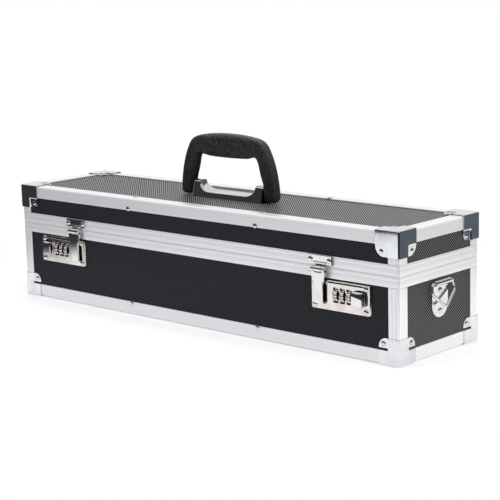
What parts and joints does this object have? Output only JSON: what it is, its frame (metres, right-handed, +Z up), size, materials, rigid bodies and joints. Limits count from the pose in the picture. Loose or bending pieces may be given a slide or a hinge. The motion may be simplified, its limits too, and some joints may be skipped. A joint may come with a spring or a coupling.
{
  "type": "hard chef knife case",
  "caption": "Long hard case for chef's knives: framed black boards, hinged lid, combination latches, folding top handle, strap rings and foam knife racks.",
  "frame": {"origin": "the middle of the case's footprint on the surface it stands on", "axes": "+X along the case to its right-hand end, +Y from the latches to the rear hinges, +Z up"},
  "size_m": [0.5722, 0.1502, 0.206],
  "materials": {
    "board_laminate": "black laminate with a fine embossed weave",
    "frame_aluminium": "satin anodised, brushed along its length",
    "corner_chrome": "polished",
    "corner_satin": "satin nickel",
    "lock_nickel": "bright nickel",
    "latch_chrome": "polished",
    "hinge_steel": "zinc plated",
    "handle_plastic": "black moulded plastic with a leather grain",
    "lining_foam": "charcoal foam"
  },
  "bodies": {
    "base": {"base_back_board": "board_laminate", "base_bottom_board": "board_laminate", "base_bottom_frame": "frame_aluminium", "base_corner_back_left": "corner_satin", "base_corner_back_right": "corner_satin", "base_corner_front_left": "corner_satin", "base_corner_front_right": "corner_satin", "base_front_board": "board_laminate", "base_left_board": "board_laminate", "base_lining": "lining_foam", "base_post_back_left": "frame_aluminium", "base_post_back_right": "frame_aluminium", "base_post_front_left": "frame_aluminium", "base_post_front_right": "frame_aluminium", "base_right_board": "board_laminate", "base_rim": "frame_aluminium", "blade_rack": "lining_foam", "handle_rack": "lining_foam", "left_lock_body": "lock_nickel", "left_strap_plate": "latch_chrome", "left_hinge_base_leaf": "hinge_steel", "left_hinge_pin": "hinge_steel", "right_lock_body": "lock_nickel", "right_strap_plate": "latch_chrome", "right_hinge_base_leaf": "hinge_steel", "right_hinge_pin": "hinge_steel"},
    "lid": {"lid_back_board": "board_laminate", "lid_corner_back_left": "corner_chrome", "lid_corner_back_right": "corner_chrome", "lid_corner_front_left": "corner_chrome", "lid_corner_front_right": "corner_chrome", "lid_front_board": "board_laminate", "lid_left_board": "board_laminate", "lid_lining": "lining_foam", "lid_post_back_left": "frame_aluminium", "lid_post_back_right": "frame_aluminium", "lid_post_front_left": "frame_aluminium", "lid_post_front_right": "frame_aluminium", "lid_right_board": "board_laminate", "lid_rim": "frame_aluminium", "lid_top_board": "board_laminate", "lid_top_frame": "frame_aluminium", "handle_bracket": "latch_chrome", "left_keeper": "latch_chrome", "left_hinge_lid_leaf": "hinge_steel", "right_keeper": "latch_chrome", "right_hinge_lid_leaf": "hinge_steel"},
    "handle": {"handle_grip": "handle_plastic"},
    "left_hasp": {"left_hasp": "latch_chrome"},
    "left_slider": {"left_release_slider": "latch_chrome"},
    "left_ring": {"left_strap_ring": "latch_chrome"},
    "left_dial_1": {"left_dial_1": "lock_nickel"},
    "left_dial_2": {"left_dial_2": "lock_nickel"},
    "left_dial_3": {"left_dial_3": "lock_nickel"},
    "right_hasp": {"right_hasp": "latch_chrome"},
    "right_slider": {"right_release_slider": "latch_chrome"},
    "right_ring": {"right_strap_ring": "latch_chrome"},
    "right_dial_1": {"right_dial_1": "lock_nickel"},
    "right_dial_2": {"right_dial_2": "lock_nickel"},
    "right_dial_3": {"right_dial_3": "lock_nickel"}
  },
  "joints": [
    {"name": "lid_hinge", "type": "hinge", "parent": "base", "child": "lid", "pos_m": [0, 0.0719, 0.08985], "axis": [-1, 0, 0], "range_deg": [0, 95]},
    {"name": "handle_fold", "type": "hinge", "parent": "lid", "child": "handle", "pos_m": [0, 0, 0.1413], "axis": [1, 0, 0], "range_deg": [-86, 86]},
    {"name": "left_hasp_swing", "type": "hinge", "parent": "lid", "child": "left_hasp", "pos_m": [-0.1835, -0.0719, 0.0877], "axis": [-1, 0, 0], "range_deg": [0, 135]},
    {"name": "left_release_slide", "type": "slide", "parent": "base", "child": "left_slider", "axis": [-1, 0, 0], "range_m": [0, 0.004], "stiffness_N_per_m": 400},
    {"name": "left_dial_1_turn", "type": "hinge", "parent": "base", "child": "left_dial_1", "pos_m": [-0.2029, -0.0635, 0.0627], "axis": [1, 0, 0], "continuous": true},
    {"name": "left_dial_2_turn", "type": "hinge", "parent": "base", "child": "left_dial_2", "pos_m": [-0.21125, -0.0635, 0.0627], "axis": [1, 0, 0], "continuous": true},
    {"name": "left_dial_3_turn", "type": "hinge", "parent": "base", "child": "left_dial_3", "pos_m": [-0.2196, -0.0635, 0.0627], "axis": [1, 0, 0], "continuous": true},
    {"name": "left_ring_swing", "type": "hinge", "parent": "base", "child": "left_ring", "pos_m": [-0.2829, 0, 0.074], "axis": [0, 1, 0], "range_deg": [0, 170]},
    {"name": "right_hasp_swing", "type": "hinge", "parent": "lid", "child": "right_hasp", "pos_m": [0.1835, -0.0719, 0.0877], "axis": [-1, 0, 0], "range_deg": [0, 135]},
    {"name": "right_release_slide", "type": "slide", "parent": "base", "child": "right_slider", "axis": [1, 0, 0], "range_m": [0, 0.004], "stiffness_N_per_m": 400},
    {"name": "right_dial_1_turn", "type": "hinge", "parent": "base", "child": "right_dial_1", "pos_m": [0.2029, -0.0635, 0.0627], "axis": [1, 0, 0], "continuous": true},
    {"name": "right_dial_2_turn", "type": "hinge", "parent": "base", "child": "right_dial_2", "pos_m": [0.21125, -0.0635, 0.0627], "axis": [1, 0, 0], "continuous": true},
    {"name": "right_dial_3_turn", "type": "hinge", "parent": "base", "child": "right_dial_3", "pos_m": [0.2196, -0.0635, 0.0627], "axis": [1, 0, 0], "continuous": true},
    {"name": "right_ring_swing", "type": "hinge", "parent": "base", "child": "right_ring", "pos_m": [0.2829, 0, 0.074], "axis": [0, -1, 0], "range_deg": [0, 170]}
  ]
}
